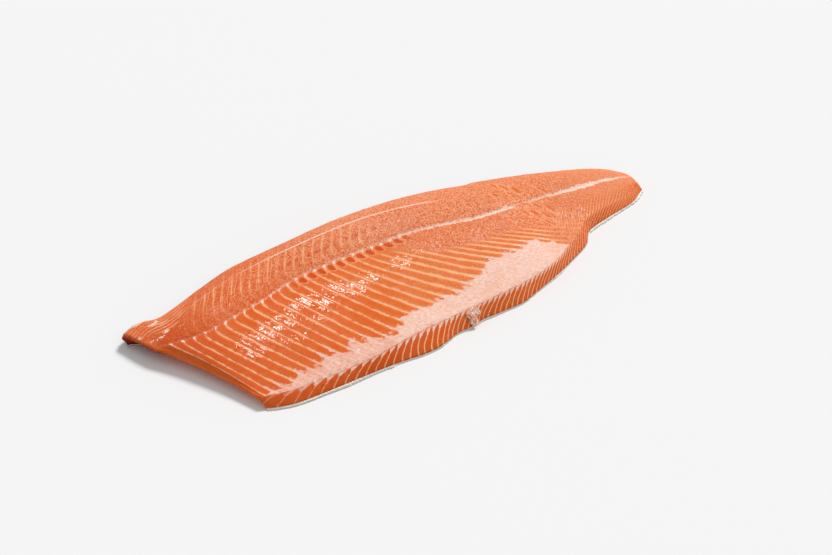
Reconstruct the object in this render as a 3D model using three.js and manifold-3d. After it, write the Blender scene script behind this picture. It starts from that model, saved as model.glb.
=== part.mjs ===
// Raw salmon fillet: one whole side with the skin on, lying skin side down.
// Millimetres, +Z up. The head end is at -X and the tail at +X; the thick back edge is at +Y and
// the belly edge at -Y. The origin is under the middle of the fillet, on the surface it lies on.
import * as THREE from 'three';
import { mergeVertices } from 'three/addons/utils/BufferGeometryUtils.js';
import Module from 'manifold-3d';

const wasm = await Module();
wasm.setup();

// ---- driving dimensions ----
const headX = -249.5;          // where the backbone line meets the head cut
const tailX = 261;             // where the backbone line ends
const lineSpacing = 10.25;     // between the white lines that part the muscle segments
const lineHalfWidth = 0.17;    // half width of such a line's valley, as a share of the spacing
const bellyLineDepth = 0.45;   // how far the lines sink between the segments on the belly
const backLineDepth = 0.28;    // and on the back
const gapeDepth = 0.75;        // how much deeper they gape where the flakes part
const backboneDepth = 1;       // groove left by the backbone
const backTuck = 7.5;          // how far the back edge rounds in under itself
const headOverhang = 15;       // how far the head cut slants back under itself
const headRoll = 1.2;          // how far the cut's lip rolls out
const noseRoll = 3.6;          // and how much further at its back corner
const headHollow = 2.6;        // how far the cut is hollow in plan
const tailRoll = 1.5;          // how far the tail's end bulges
const bellyRoll = 0.8;         // and the belly's cut face
const faceLean = 9;            // how far the lines lean towards the tail over the cut face's height
const headRound = 1.6;         // how far the edge of the head cut is rounded off
const headRoundReach = 6;
const crestRound = 0.9;        // and the belly's, in the middle and at the tail
const tailCrestRound = 2.6;
const headFade = 45;           // over this length the middle's form turns into the head cut's
const tailFade = 60;           // and into the tail's
const lineBend = 1.45;         // how strongly the white lines curve, from 1 for straight
const headBend = 0.85;
const tailBend = 2.05;
const bendFade = 25;           // over this length the lines take up the head cut's curve
const backKink = 7;            // how far the lines dip towards the head beside the backbone, on the back
const backKinkAt = 0.16;       // and at which share of the way to the edge
const bellyKink = 3;           // the same on the belly
const bellyKinkAt = 0.08;
const skinThickness = 1.2;
const skinGap = 0.35;          // between the skin and the flesh on it
const skinShow = 1.6;          // how far the skin shows past the flesh at the belly edge
const skinFringe = 4.5;        // and at the tail end

const clamp = THREE.MathUtils.clamp;
const lerp = THREE.MathUtils.lerp;
const smoothstep = THREE.MathUtils.smoothstep;

// A smooth curve through a few points, read as a height over a distance.
function curveOver(points) {
  const slope = points.map((point, i) => {
    const before = points[Math.max(i - 1, 0)];
    const after = points[Math.min(i + 1, points.length - 1)];
    return (after[1] - before[1]) / (after[0] - before[0]);
  });
  return (x) => {
    const last = points.length - 1;
    const at = clamp(x, points[0][0], points[last][0]);
    let i = 0;
    while (i < last - 1 && at > points[i + 1][0]) i += 1;
    const [x0, y0] = points[i];
    const [x1, y1] = points[i + 1];
    const step = x1 - x0;
    const t = (at - x0) / step;
    const rise = t * t * (3 - 2 * t);
    const leave = t * (1 - t) * (1 - t) * slope[i] * step;
    const reach = t * t * (t - 1) * slope[i + 1] * step;
    return lerp(y0, y1, rise) + leave + reach;
  };
}

// ---- plan ----
const backEdge = curveOver([[-260, 62], [-244, 67], [-227, 63.5], [-207, 68], [-170, 79.3], [-135, 88.5],
  [-59, 94], [-9, 96], [41, 94], [93, 85.5], [118, 79], [124, 79], [155, 70], [196, 56], [226, 43.5],
  [248, 31], [257, 22]]);
const backbone = curveOver([[-250, 23], [-220, 13], [-199, 12], [-150, 18.5], [-111, 27.5], [-90, 30],
  [7, 30], [48, 25], [89, 18], [152, 17], [194, 13], [236, 9], [261, 7]]);
const bellyCrest = curveOver([[-214, -74], [-184, -82], [-144, -85], [-104, -86], [-56, -81.5],
  [-7, -80], [64, -76], [103, -68], [133, -54], [156, -41], [174, -29], [208, -20], [240, -15],
  [255, -9]]);
const bellyFoot = curveOver([[-211, -81.5], [-205, -85], [-187, -90.5], [-157, -92.5], [-100, -94],
  [-78, -96], [-61, -98], [-46, -97.5], [-34, -94.5], [-20, -90.8], [-6, -90.5], [10, -87.5], [24, -88],
  [53, -88], [70, -83.5], [104, -73], [133, -62], [158, -50.5], [171, -38], [181, -33.5], [208, -28],
  [240, -22], [259, -12]]);
// where a muscle segment that starts at the backbone ends, on the belly side and on the back
const bellyEnd = curveOver([[headX, -210.8], [-239.3, -207], [-229, -197], [-208.6, -173], [-117, -77],
  [-97, -51], [-58, 4], [-17, 70], [3, 95], [23, 114], [53, 137], [93, 164], [153, 206], [203, 235], [tailX, 258]]);
const backEnd = curveOver([[headX, -259.5], [-240, -232], [-225, -200], [-200, -167], [-150, -114],
  [0, 35], [93, 124], [150, 174], [200, 216], [230, 240], [tailX, 256]]);

// ---- heights ----
const backboneTop = curveOver([[-250, 15], [-238, 17.5], [-215, 20], [-160, 23.5], [-60, 25], [20, 24],
  [80, 21], [130, 18], [180, 15], [220, 12.5], [245, 10], [261, 6.5]]);
const loinRise = curveOver([[-250, 0], [-220, 2.5], [-130, 4.5], [0, 4.5], [100, 3], [200, 1.2], [261, 0]]);
const backEdgeTop = curveOver([[-261, 8], [-242, 9.5], [-220, 8.5], [-180, 9.5], [-50, 11], [60, 10],
  [150, 8.5], [220, 7], [256, 5]]);
const bellyTop = curveOver([[-214, 9], [-180, 9.5], [-110, 11.5], [-60, 13.5], [0, 14], [70, 14],
  [120, 13], [170, 11], [220, 9], [255, 5]]);

// Low, slow unevenness of the whole upper side.
function sway(x, y) {
  return 0.35 * Math.sin(x / 31 + y / 57) + 0.25 * Math.sin(x / 17 - y / 23 + 1.3);
}

// 0 at one edge of the flesh, 1 at the other, and back to 0 beyond either.
function within(value, from, to, blur) {
  return smoothstep(value, from - blur, from + blur) * (1 - smoothstep(value, to - blur, to + blur));
}

// Where the flakes part: two patches on either side of the backbone, towards the tail.
function gape(x, y) {
  const onBelly = within(x, 108, 158, 10) * within(y, -16, 12, 8);
  const onBack = within(x, 96, 146, 10) * within(y, 22, 40, 7);
  return gapeDepth * Math.max(onBelly, onBack);
}

// ---- the muscle segments ----
// A place on the fillet is given by s, where its segment starts on the backbone line, and across,
// which runs from -1 at the belly edge over 0 at the backbone to 1 at the back edge.
const headEnd = (s) => 1 - smoothstep(s, headX, headX + headFade);
const tailEnd = (s) => smoothstep(s, tailX - tailFade, tailX);
function bend(s) {
  return lerp(lerp(headBend, lineBend, smoothstep(s, headX, headX + bendFade)), tailBend, tailEnd(s));
}
const alongSegment = (s, endX, q) => s + (endX - s) * q ** bend(s);

// The lines' dip towards the head beside the backbone.
function kink(s, q, reach, peak) {
  const r = q / peak;
  return reach * r * Math.exp(1 - r) * (1 - headEnd(s)) * (1 - smoothstep(s, 20, 90));
}

function upperPoint(s, across) {
  const q = Math.abs(across);
  const top = backboneTop(s);
  if (across > 0) {
    const endX = backEnd(s);
    const x = alongSegment(s, endX, q) - kink(s, q, backKink, backKinkAt);
    const y = lerp(backbone(s), backEdge(endX) - skinThickness - skinGap, q);
    const crown = top + loinRise(s) * Math.sin(Math.PI * Math.min(q * 1.15, 1)) ** 0.8;
    const shoulder = Math.sqrt(Math.max(1 - q ** 5.5, 0));
    return new THREE.Vector3(x, y, lerp(backEdgeTop(x), crown, shoulder));
  }
  const endX = bellyEnd(s);
  const hollow = headHollow * headEnd(s) * Math.sin(Math.PI * q);
  const x = alongSegment(s, endX, q) + hollow - kink(s, q, bellyKink, bellyKinkAt);
  const y = lerp(backbone(s), bellyCrest(endX), q);
  return new THREE.Vector3(x, y, lerp(top, bellyTop(x), q ** 1.35));
}

// The lines on the belly's cut face lean towards the tail as they rise.
function bellyLean(s) {
  return faceLean * (1 - headEnd(s)) * (1 - smoothstep(s, 60, 150));
}

// How far the underside is drawn in behind the lip of the head cut.
function headTuck(s, across) {
  const fade = 1 - smoothstep(s, headX, headX + 1.5 * headFade);
  return headOverhang * fade * Math.sin(Math.PI * (across + 1) / 2) ** 0.5;
}

// The skin's outer face on the back edge: tuck runs from 0 at its flat foot to 1 at its rim.
function rimPoint(s, tuck, depth) {
  const x = backEnd(s);
  const angle = tuck * Math.PI / 2;
  const y = backEdge(x) - backTuck * (1 - Math.sin(angle)) - depth * Math.sin(angle);
  const z = backEdgeTop(x) * (1 - Math.cos(angle)) + depth * Math.cos(angle);
  return new THREE.Vector3(x, y, z);
}

// The flat underside, depth above the skin's outer face.
function underPoint(s, across, depth) {
  const q = Math.abs(across);
  const bellyX = bellyEnd(s) - bellyLean(s);
  const end = across > 0 ? rimPoint(s, 0, depth) : new THREE.Vector3(bellyX, bellyFoot(bellyX), depth);
  const x = alongSegment(s, end.x, q) + headTuck(s, across);
  return new THREE.Vector3(x, lerp(backbone(s), end.y, q), depth);
}

// ---- solids ----
// A finely divided box whose corners are all moved by one function of their place in it.
function shapedBox(along, across, up, place) {
  const geometry = new THREE.BoxGeometry(1, 1, 1, along, across, up);
  const position = geometry.attributes.position;
  for (let k = 0; k < position.count; k += 1) {
    const i = Math.round((position.getX(k) + 0.5) * along);
    const j = Math.round((position.getY(k) + 0.5) * across);
    const h = Math.round((position.getZ(k) + 0.5) * up);
    const point = place(i, j, h / up);
    position.setXYZ(k, point.x, point.y, point.z);
  }
  return geometry;
}

function solidOf(geometry) {
  geometry.deleteAttribute('normal');
  geometry.deleteAttribute('uv');
  const merged = mergeVertices(geometry, 1e-4);
  return new wasm.Manifold(new wasm.Mesh({
    numProp: 3,
    vertProperties: new Float32Array(merged.attributes.position.array),
    triVerts: new Uint32Array(merged.index.array),
  }));
}

function geometryOf(solid) {
  const mesh = solid.getMesh();
  const geometry = new THREE.BufferGeometry();
  geometry.setAttribute('position', new THREE.BufferAttribute(mesh.vertProperties, 3));
  geometry.setIndex(new THREE.BufferAttribute(mesh.triVerts, 1));
  geometry.computeVertexNormals();
  return geometry;
}

// Stations along the backbone: each white line is a valley between two shoulders.
const segments = Math.round((tailX - headX) / lineSpacing);
const stationsPerLine = [0, lineHalfWidth, 1 - lineHalfWidth];
const stationCount = segments * stationsPerLine.length;
const lineStation = (line) => headX + (tailX - headX) * line / segments;
function station(i) {
  const line = Math.floor(i / stationsPerLine.length);
  return lineStation(line + stationsPerLine[i % stationsPerLine.length]);
}

// Rows from the belly edge over the backbone to the back edge, closer where the surface turns.
const rows = [-1, -0.93, -0.8, -0.66, -0.52, -0.38, -0.24, -0.06, 0, 0.06, 0.22, 0.38, 0.54, 0.68,
  0.8, 0.89, 0.95, 0.985, 1];
const backboneRow = rows.indexOf(0);
const backRow = rows.length - 1;

// How far the upper side rounds off towards the head cut and, more broadly at the tail, the belly edge.
function edgeRounding(s, across) {
  const reach = Math.exp(-(((s - headX) / headRoundReach) ** 2));
  const atCorners = smoothstep(1 - across, 0, 0.3) * lerp(0.4, 1, smoothstep(1 + across, 0, 0.5));
  const tailward = smoothstep(s, 120, 190);
  const nearCrest = Math.max(1 - (1 + across) / lerp(0.05, 0.3, tailward), 0) ** 2;
  const crest = lerp(crestRound, tailCrestRound, tailward) * (1 - headEnd(s)) * (1 - 0.7 * tailEnd(s));
  return Math.max(headRound * reach * atCorners, crest * nearCrest);
}

// The upper side with the sunken lines and the backbone's groove.
function reliefPoint(i, j) {
  const s = station(i);
  const across = rows[j];
  const point = upperPoint(s, across);
  const inner = smoothstep(1 - Math.abs(across), 0, 0.06) * (1 - tailEnd(s)) * (1 - 0.5 * headEnd(s));
  const lineDepth = across > 0 ? backLineDepth : bellyLineDepth;
  const valley = i % stationsPerLine.length === 0 ? lineDepth + gape(point.x, point.y) : 0;
  const groove = j === backboneRow ? backboneDepth : 0;
  point.z += inner * (sway(point.x, point.y) - Math.max(valley, groove)) - edgeRounding(s, across);
  return point;
}

// The body is made a touch too deep, and is then sliced flat where it meets the skin.
const fleshFloor = skinThickness + skinGap;
const sliceDepth = 0.05;

// The lip of the head cut rolls out at two thirds of its height and is undercut below.
function headCutPoint(across, h) {
  const upper = upperPoint(headX, across);
  upper.z -= edgeRounding(headX, across);
  const under = underPoint(headX, across, fleshFloor - sliceDepth);
  const point = under.clone().lerp(upper, h);
  const undercut = headTuck(headX, across) * Math.max(1 - 1.5 * h, 0);
  const roll = headRoll + noseRoll * Math.max(across, 0) ** 4;
  point.x = upper.x + undercut - 1.3 * roll * h * Math.sin(Math.PI * h);
  return point;
}

function fleshPoint(i, j, h) {
  const s = station(i);
  const across = rows[j];
  const depth = fleshFloor - sliceDepth;
  if (h === 1) return reliefPoint(i, j);
  if (h === 0) return underPoint(s, across, depth);
  if (j === backRow) return rimPoint(s, h, depth);
  if (i === 0) return headCutPoint(across, h);
  const roll = Math.sin(Math.PI * h);
  const point = underPoint(s, across, depth).lerp(upperPoint(s, across), h);
  if (i === stationCount) point.x += tailRoll * roll;
  if (j === 0) point.y -= bellyRoll * roll;
  return point;
}

// A scrap of membrane that hangs down over the belly's cut face.
const scrapTop = new THREE.Vector3(4, -80.5, 13.2);
const scrapTip = new THREE.Vector3(-5, -91.2, 4);
const scrapHalfWidth = 5;
const scrapHalfThickness = 1.6;

function scrapGeometry() {
  const geometry = new THREE.SphereGeometry(1, 12, 8);
  const run = scrapTop.y - scrapTip.y;
  geometry.scale(scrapHalfWidth, scrapTop.distanceTo(scrapTip) / 2, scrapHalfThickness);
  geometry.rotateX(Math.atan2(scrapTop.z - scrapTip.z, run));
  geometry.rotateZ(Math.atan2(scrapTip.x - scrapTop.x, run));
  const middle = scrapTop.clone().lerp(scrapTip, 0.5);
  geometry.translate(middle.x, middle.y, middle.z);
  return geometry;
}

function makeFlesh() {
  const body = solidOf(shapedBox(stationCount, backRow, 3, fleshPoint));
  const slab = new THREE.BoxGeometry(1.2 * (tailX - headX), 1.2 * (tailX - headX), fleshFloor);
  slab.translate(0, 0, fleshFloor / 2);
  return geometryOf(body.subtract(solidOf(slab)).add(solidOf(scrapGeometry())));
}

// ---- skin ----
const skinRows = [-1, -0.55, 0, 0.55, 1];
const skinTucks = 3;
// every white line, and all stations where the back edge bends round the head end
const skinStations = [...Array(stationCount + 1).keys()]
  .filter((i) => i % stationsPerLine.length === 0 || i < 3 * stationsPerLine.length);
const skinSteps = skinStations.length - 1;

// How far the skin's edge stands out past the flesh on the belly side: as a flap at the head end, hardly
// in the middle, and further again at the tail.
function skinEdge(x) {
  const flap = 1.7 - 1.3 * smoothstep(x, -93, -89) * (1 - 0.8 * smoothstep(x, 160, 180));
  return skinShow * flap + 0.4 * Math.sin(x / 13) + 0.3 * Math.sin(x / 7.7);
}

function skinPoint(i, j, h) {
  const s = station(skinStations[i]);
  const depth = skinThickness * h;
  const lastFlat = skinRows.length - 1;
  const across = skinRows[Math.min(j, lastFlat)];
  const point = j > lastFlat
    ? rimPoint(s, (j - lastFlat) / skinTucks, depth)
    : underPoint(s, across, depth);
  if (j === 0) point.y -= skinEdge(point.x);
  if (i === skinSteps && j < lastFlat) point.x += skinFringe * (1 - 0.7 * Math.abs(across));
  return point;
}

function makeSkin() {
  const across = skinRows.length - 1 + skinTucks;
  return geometryOf(solidOf(shapedBox(skinSteps, across, 1, skinPoint)));
}

// ---- scene ----
function named(name, geometry, look) {
  const mesh = new THREE.Mesh(geometry, new THREE.MeshStandardMaterial(look));
  mesh.name = name;
  return mesh;
}

const fillet = new THREE.Group();
fillet.add(named('flesh', makeFlesh(), { color: 0xe8743b, roughness: 0.35, metalness: 0 }));
fillet.add(named('skin', makeSkin(), { color: 0xb9c0c4, roughness: 0.4, metalness: 0.1 }));

const footprint = new THREE.Box3().setFromObject(fillet).getCenter(new THREE.Vector3());
fillet.position.set(-footprint.x, -footprint.y, 0);

export default fillet;
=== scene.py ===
# A whole raw salmon side, skin down, on a pale studio floor.
# Settings are in millimetres and degrees; everything is scaled to metres when its mesh is made.
import math

import bmesh
import bpy
import numpy as np
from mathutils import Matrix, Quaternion, Vector, noise


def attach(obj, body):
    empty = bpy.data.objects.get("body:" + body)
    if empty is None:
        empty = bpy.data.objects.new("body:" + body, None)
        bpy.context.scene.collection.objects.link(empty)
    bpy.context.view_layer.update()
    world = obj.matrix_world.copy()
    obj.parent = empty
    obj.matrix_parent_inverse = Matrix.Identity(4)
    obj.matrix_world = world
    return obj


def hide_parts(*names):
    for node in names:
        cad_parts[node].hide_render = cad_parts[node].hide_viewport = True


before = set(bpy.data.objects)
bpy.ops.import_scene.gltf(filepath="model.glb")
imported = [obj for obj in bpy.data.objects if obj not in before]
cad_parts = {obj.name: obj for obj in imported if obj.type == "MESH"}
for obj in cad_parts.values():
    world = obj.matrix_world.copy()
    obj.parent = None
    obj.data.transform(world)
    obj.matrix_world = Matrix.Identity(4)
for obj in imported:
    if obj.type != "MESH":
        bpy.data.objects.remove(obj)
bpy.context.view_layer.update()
mm = 0.001


# camera, floor and light

studio = {
    "cameraPlace": (-921.9, -1192.55, 1070.1),
    "cameraAim": (-1.3, -1.55, 0.0),
    "cameraRoll": 1.74,
    "lens": 90.23,
    "floorSize": 12000,
    "floorColour": (238, 238, 238),
    "keyTurn": 22,         # from +X towards +Y
    "keyRise": 43,
    "keyAngle": 15,
    "keyPower": 2.6,
    "skyStrength": 0.5,
}


def paint(red, green, blue):
    linear = [c / 12.92 if c < 0.04045 else ((c + 0.055) / 1.055) ** 2.4
              for c in (red / 255, green / 255, blue / 255)]
    return (*linear, 1)


def makeCamera():
    data = bpy.data.cameras.new("pictureCamera")
    data.lens = studio["lens"]
    data.sensor_width = 36
    camera = bpy.data.objects.new("pictureCamera", data)
    place = Vector(studio["cameraPlace"]) * mm
    aim = Vector(studio["cameraAim"]) * mm
    camera.location = place
    camera.rotation_mode = "QUATERNION"
    roll = Quaternion((0, 0, 1), math.radians(studio["cameraRoll"]))
    camera.rotation_quaternion = (aim - place).to_track_quat("-Z", "Y") @ roll
    bpy.context.collection.objects.link(camera)
    bpy.context.scene.camera = camera


def makeFloor():
    bm = bmesh.new()
    bmesh.ops.create_grid(bm, x_segments=1, y_segments=1, size=studio["floorSize"] * mm / 2)
    floor = meshObject("studioFloor", bm)
    material = bpy.data.materials.new("floorPaint")
    material.use_nodes = True
    shader = material.node_tree.nodes["Principled BSDF"]
    shader.inputs["Base Color"].default_value = paint(*studio["floorColour"])
    shader.inputs["Roughness"].default_value = 0.9
    floor.data.materials.append(material)


def makeLights():
    data = bpy.data.lights.new("keyLight", "SUN")
    data.energy = studio["keyPower"]
    data.angle = math.radians(studio["keyAngle"])
    key = bpy.data.objects.new("keyLight", data)
    turn, rise = math.radians(studio["keyTurn"]), math.radians(studio["keyRise"])
    towards = Vector((math.cos(turn) * math.cos(rise), math.sin(turn) * math.cos(rise), math.sin(rise)))
    key.rotation_mode = "QUATERNION"
    key.rotation_quaternion = towards.to_track_quat("Z", "Y")
    bpy.context.collection.objects.link(key)
    world = bpy.data.worlds.new("studioSky")
    world.use_nodes = True
    world.node_tree.nodes["Background"].inputs["Color"].default_value = (1, 1, 1, 1)
    world.node_tree.nodes["Background"].inputs["Strength"].default_value = studio["skyStrength"]
    bpy.context.scene.world = world
    bpy.context.scene.view_settings.view_transform = "Standard"


# helpers for meshes

def meshObject(name, bm):
    data = bpy.data.meshes.new(name)
    bm.to_mesh(data)
    bm.free()
    piece = bpy.data.objects.new(name, data)
    bpy.context.collection.objects.link(piece)
    return piece


def finishedPiece(name, bm, marks, material):
    piece = meshObject(name, bm)
    for mark, values in marks.items():
        piece.data.attributes.new(mark, "FLOAT_VECTOR", "POINT").data.foreach_set("vector", values.ravel())
    piece.data.shade_smooth()
    piece.data.materials.append(material)
    return piece


# a smooth curve through a few points, read as a height over a distance
def curveOver(points):
    xs, ys = np.array(points, float).T
    before = np.maximum(np.arange(len(xs)) - 1, 0)
    after = np.minimum(np.arange(len(xs)) + 1, len(xs) - 1)
    slope = (ys[after] - ys[before]) / (xs[after] - xs[before])

    def at(x):
        x = np.clip(x, xs[0], xs[-1])
        i = np.clip(np.searchsorted(xs, x) - 1, 0, len(xs) - 2)
        step = xs[i + 1] - xs[i]
        t = (x - xs[i]) / step
        rise = t * t * (3 - 2 * t)
        leave = t * (1 - t) ** 2 * slope[i] * step
        reach = t * t * (t - 1) * slope[i + 1] * step
        return ys[i] + (ys[i + 1] - ys[i]) * rise + leave + reach

    return at


def fade(value, low, high):
    t = np.clip((value - low) / (high - low), 0, 1)
    return t * t * (3 - 2 * t)


# 1 between low and high, with soft ends
def between(value, low, high, blur):
    return fade(value, low - blur, low + blur) * (1 - fade(value, high - blur, high + blur))


def blend(a, b, t):
    return a + (b - a) * t


def unevenness(x, y, size, seed):
    places = zip(np.ravel(x) / size, np.ravel(y) / size)
    values = [noise.noise((px, py, seed)) for px, py in places]
    return np.array(values).reshape(np.shape(x))


# the fillet's form: the same plan and heights as its solids

form = {
    "headX": -249.5,
    "tailX": 261.0,
    "segments": 50,
    "bellyLineDepth": 0.45,
    "backboneDepth": 1.0,
    "backTuck": 7.5,         # how far the back edge rounds in under itself
    "headOverhang": 15.0,    # how far the head cut slants back under itself
    "headRoll": 1.2,         # how far its lip rolls out, and how much further at the back corner
    "noseRoll": 3.6,
    "headHollow": 2.6,       # how far it is hollow in plan
    "tailRoll": 1.5,
    "bellyRoll": 0.8,
    "faceLean": 9.0,         # how far the cut face's foot lies towards the head
    "headFade": 45.0,
    "tailFade": 60.0,
    "lineBend": 1.45,
    "headBend": 0.85,
    "tailBend": 2.05,
    "bendFade": 25.0,
    "backKink": 7.0,         # how far the lines dip towards the head beside the backbone, and where
    "backKinkAt": 0.16,
    "bellyKink": 3.0,
    "bellyKinkAt": 0.08,
    "skinThickness": 1.2,
    "skinGap": 0.35,
    "skinShow": 1.6,         # how far the skin shows past the flesh at the belly edge and at the tail
    "skinFringe": 4.5,
}
segmentLength = (form["tailX"] - form["headX"]) / form["segments"]
fleshFloor = form["skinThickness"] + form["skinGap"]

backEdge = curveOver([(-260, 62), (-244, 67), (-227, 63.5), (-207, 68), (-170, 79.3), (-135, 88.5), (-59, 94),
                      (-9, 96), (41, 94), (93, 85.5), (118, 79), (124, 79), (155, 70), (196, 56), (226, 43.5),
                      (248, 31), (257, 22)])
backbone = curveOver([(-250, 23), (-220, 13), (-199, 12), (-150, 18.5), (-111, 27.5), (-90, 30), (7, 30),
                      (48, 25), (89, 18), (152, 17), (194, 13), (236, 9), (261, 7)])
bellyCrest = curveOver([(-214, -74), (-184, -82), (-144, -85), (-104, -86), (-56, -81.5), (-7, -80), (64, -76),
                        (103, -68), (133, -54), (156, -41), (174, -29), (208, -20), (240, -15), (255, -9)])
bellyFoot = curveOver([(-211, -81.5), (-205, -85), (-187, -90.5), (-157, -92.5), (-100, -94), (-78, -96),
                       (-61, -98), (-46, -97.5), (-34, -94.5), (-20, -90.8), (-6, -90.5), (10, -87.5), (24, -88),
                       (53, -88), (70, -83.5), (104, -73), (133, -62), (158, -50.5), (171, -38), (181, -33.5),
                       (208, -28), (240, -22), (259, -12)])

# where a muscle segment that starts at the backbone ends, on the belly and on the back
bellyEnd = curveOver([(form["headX"], -210.8), (-239.3, -207), (-229, -197), (-208.6, -173), (-117, -77),
                      (-97, -51), (-58, 4), (-17, 70), (3, 95), (23, 114), (53, 137), (93, 164), (153, 206),
                      (203, 235), (form["tailX"], 258)])
backEnd = curveOver([(form["headX"], -259.5), (-240, -232), (-225, -200), (-200, -167), (-150, -114), (0, 35),
                     (93, 124), (150, 174), (200, 216), (230, 240), (form["tailX"], 256)])

backboneTop = curveOver([(-250, 15), (-238, 17.5), (-215, 20), (-160, 23.5), (-60, 25), (20, 24), (80, 21),
                         (130, 18), (180, 15), (220, 12.5), (245, 10), (261, 6.5)])
loinRise = curveOver([(-250, 0), (-220, 2.5), (-130, 4.5), (0, 4.5), (100, 3), (200, 1.2), (261, 0)])
backEdgeTop = curveOver([(-261, 8), (-242, 9.5), (-220, 8.5), (-180, 9.5), (-50, 11), (60, 10), (150, 8.5),
                         (220, 7), (256, 5)])
bellyTop = curveOver([(-214, 9), (-180, 9.5), (-110, 11.5), (-60, 13.5), (0, 14), (70, 14), (120, 13), (170, 11),
                      (220, 9), (255, 5)])


# a place on the fillet: s is where its segment starts on the backbone line, and across runs from -1 at
# the belly edge over 0 at the backbone to 1 at the back edge

def headEnd(s):
    return 1 - fade(s, form["headX"], form["headX"] + form["headFade"])


def tailEnd(s):
    return fade(s, form["tailX"] - form["tailFade"], form["tailX"])


def alongSegment(s, endX, q):
    fromHead = fade(s, form["headX"], form["headX"] + form["bendFade"])
    bend = blend(blend(form["headBend"], form["lineBend"], fromHead), form["tailBend"], tailEnd(s))
    return s + (endX - s) * q ** bend


def kink(s, q, reach, peak):
    r = q / peak
    return reach * r * np.exp(1 - r) * (1 - headEnd(s)) * (1 - fade(s, 20, 90))


def upperSurface(s, across):
    q = np.abs(across)
    top = backboneTop(s)
    backX = alongSegment(s, backEnd(s), q) - kink(s, q, form["backKink"], form["backKinkAt"])
    backY = blend(backbone(s), backEdge(backEnd(s)) - fleshFloor, q)
    crown = top + loinRise(s) * np.sin(np.pi * np.minimum(q * 1.15, 1)) ** 0.8
    shoulder = np.sqrt(np.maximum(1 - q ** 5.5, 0))
    backZ = blend(backEdgeTop(backX), crown, shoulder)
    hollow = form["headHollow"] * headEnd(s) * np.sin(np.pi * q)
    bellyX = alongSegment(s, bellyEnd(s), q) + hollow - kink(s, q, form["bellyKink"], form["bellyKinkAt"])
    bellyY = blend(backbone(s), bellyCrest(bellyEnd(s)), q)
    bellyZ = blend(top, bellyTop(bellyX), q ** 1.35)
    onBack = across > 0
    return np.stack([np.where(onBack, backX, bellyX), np.where(onBack, backY, bellyY),
                     np.where(onBack, backZ, bellyZ)], -1)


def headTuck(s, across):
    reach = 1 - fade(s, form["headX"], form["headX"] + 1.5 * form["headFade"])
    return form["headOverhang"] * reach * np.maximum(np.sin(np.pi * (across + 1) / 2), 0) ** 0.5


def rimSurface(s, tuck, depth):
    x = backEnd(s)
    angle = tuck * np.pi / 2
    y = backEdge(x) - form["backTuck"] * (1 - np.sin(angle)) - depth * np.sin(angle)
    z = backEdgeTop(x) * (1 - np.cos(angle)) + depth * np.cos(angle)
    return np.stack([x, y, z], -1)


def underSurface(s, across, depth):
    q = np.abs(across)
    lean = form["faceLean"] * (1 - headEnd(s)) * (1 - fade(s, 60, 150))
    bellyX = bellyEnd(s) - lean
    rim = rimSurface(s, 0, depth)
    endX = np.where(across > 0, rim[..., 0], bellyX)
    endY = np.where(across > 0, rim[..., 1], bellyFoot(bellyX))
    x = alongSegment(s, endX, q) + headTuck(s, across)
    return np.stack([x, blend(backbone(s), endY, q), np.broadcast_to(depth, np.shape(x))], -1)


# flesh

flesh = {
    "stepsPerSegment": 15,
    "bellyRows": 60,
    "backRows": 44,
    "wallRows": 10,
    "rowCrowding": 0.35,     # how much closer the rows lie at the backbone and the edges
    "headRound": 1.6,        # how far the edge of the head cut is rounded off
    "headRoundReach": 6.0,
    "crestRound": 0.9,       # and the belly's, in the middle and at the tail
    "tailCrestRound": 2.6,
    "lineWidth": 0.85,
    "fineLineWidth": 0.55,
    "lineWander": 0.08,
    "backLineDepth": 0.15,
    "pillow": 0.12,
    "gashDepth": 0.8,
    "beadHeight": 0.4,
    "grainHeight": 0.22,
    "swellHeight": 0.25,
    "rippleHeight": 0.15,
    "sunk": 0.4,             # the top lies this much lower, to make room for the beads and lumps
    "lineLean": 16,          # how far the lines on the cut face lean towards the tail
    "edgeLineWidth": 0.75,
    "edgeLineSpacing": 3.9,  # between the lines that run along the back edge at the head end
    "edgeLineTurn": 0.12,
    "lateralWidth": 1.15,
    "squareBelow": 6.2,      # the red squares' middle, under the backbone, and half their size
    "squareReach": 4.6,
    "lensBelow": 19,         # the same for the red spots, under the line along the back
    "lensReach": 2.4,
    "strokeSize": 2.1,
    "granuleSize": 2.1,
    "stripSize": 2.4,
    "rampTurn": 134,         # the wet film's ramps face this way
    "rampDepth": 1.75,
    "dashSize": 1.5,
    "dryRoughness": 0.85,
    "wetRoughness": 0.16,
    "paint": {
        "orange": (221, 92, 4),
        "warmOrange": (226, 108, 8),
        "paleOrange": (236, 148, 102),
        "deepOrange": (204, 66, 0),
        "tear": (226, 96, 26),
        # painted shade for the foot of the head cut's wall
        "lip": (128, 24, 12),
        "line": (250, 176, 128),
        "membrane": (236, 184, 162),
        "thickMembrane": (250, 214, 198),
        "fat": (248, 214, 196),
        "speckDark": (206, 74, 8),
        "paleSpeckAndGlint": (250, 178, 138),
    },
}

# spacing of the white lines on the belly's cut face, counted up from the head end
faceSpacing = curveOver([(-230, 15), (-160, 12), (-120, 10), (-80, 8), (-40, 6.4), (0, 6.1), (30, 6.4), (80, 6),
                         (120, 5.5), (160, 5), (265, 4.6)])
faceSteps = np.arange(form["headX"] - 40, form["tailX"] + 30, 1.0)
faceCount = np.cumsum(1 / faceSpacing(faceSteps))

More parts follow.
